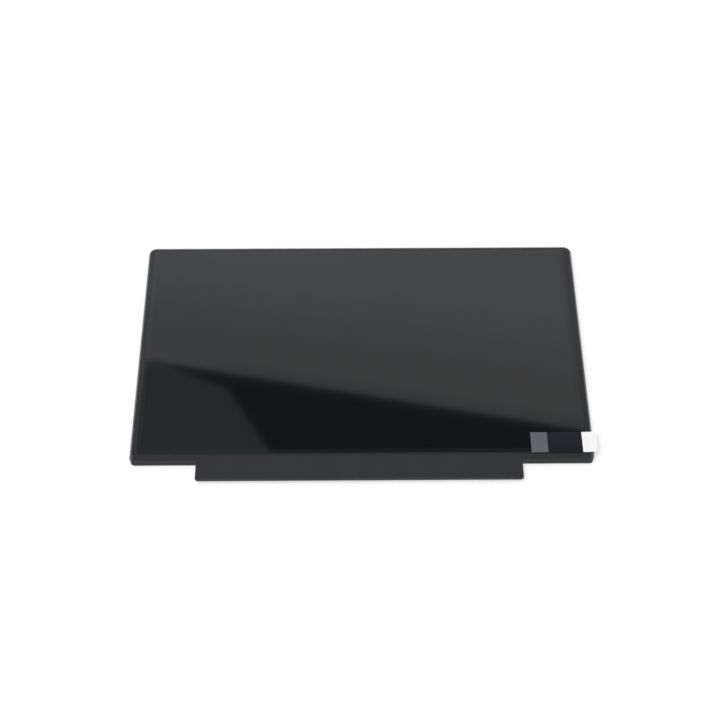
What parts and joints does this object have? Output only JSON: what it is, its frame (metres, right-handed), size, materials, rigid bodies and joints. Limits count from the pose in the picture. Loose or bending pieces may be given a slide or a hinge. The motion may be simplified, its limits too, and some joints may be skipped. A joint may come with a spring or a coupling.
{
  "type": "laptop screen panel",
  "caption": "Slim edge-lit laptop screen module with a metal back plate, glass cell, protective film with a pull tab, and a driver board hung below its lower edge.",
  "frame": {"origin": "middle of the module's rectangular outline, on the rear face of the back plate", "axes": "+X along the screen to the viewer's right, +Y towards the screen's upper edge, +Z out of the front of the screen"},
  "size_m": [0.2702, 0.1688, 0.0035],
  "materials": {
    "plate_aluminium": "satin",
    "frame_black": "matt",
    "reflector_white": "satin",
    "guide_acrylic": "polished",
    "optical_sheet": "satin",
    "light_bar_flex": "satin",
    "lamp_package": "satin",
    "seat_foam": "matt",
    "polariser_film": "gloss",
    "cell_glass": "polished",
    "bezel_tape_black": "satin",
    "clear_film": "gloss",
    "tab_adhesive": "matt",
    "tab_clear": "gloss",
    "tab_paper": "matt",
    "driver_flex_amber": "gloss",
    "chip_silicon": "polished",
    "board_green": "satin",
    "cover_film_black": "matt",
    "package_black": "matt",
    "connector_ivory": "matt",
    "shell_steel": "satin",
    "contact_gold": "polished",
    "coil_ferrite": "matt",
    "capacitor_ceramic": "satin",
    "resistor_black": "satin"
  },
  "bodies": {
    "root": {"back_plate": "plate_aluminium", "middle_frame": "frame_black", "reflector_sheet": "reflector_white", "light_guide": "guide_acrylic", "diffuser_sheet": "optical_sheet", "lower_prism_sheet": "optical_sheet", "upper_prism_sheet": "optical_sheet", "led_flex": "light_bar_flex", "leds": "lamp_package", "seat_tape": "seat_foam", "rear_polariser": "polariser_film", "array_glass": "cell_glass", "colour_filter_glass": "cell_glass", "front_polariser": "polariser_film", "bezel_tape": "bezel_tape_black", "protective_film": "clear_film", "tab_pad": "tab_adhesive", "pull_tab": "tab_clear", "tab_grip": "tab_paper", "driver_flex_left": "driver_flex_amber", "driver_flex_middle": "driver_flex_amber", "driver_flex_right": "driver_flex_amber", "driver_chips": "chip_silicon", "driver_board": "board_green", "board_cover_film": "cover_film_black", "connector_housing": "connector_ivory", "connector_contacts": "contact_gold", "connector_shell": "shell_steel", "timing_chip": "package_black", "power_chip": "package_black", "light_chip": "package_black", "memory_chip": "package_black", "coils": "coil_ferrite", "diodes": "package_black", "chip_capacitors": "capacitor_ceramic", "chip_resistors": "resistor_black"}
  },
  "joints": []
}
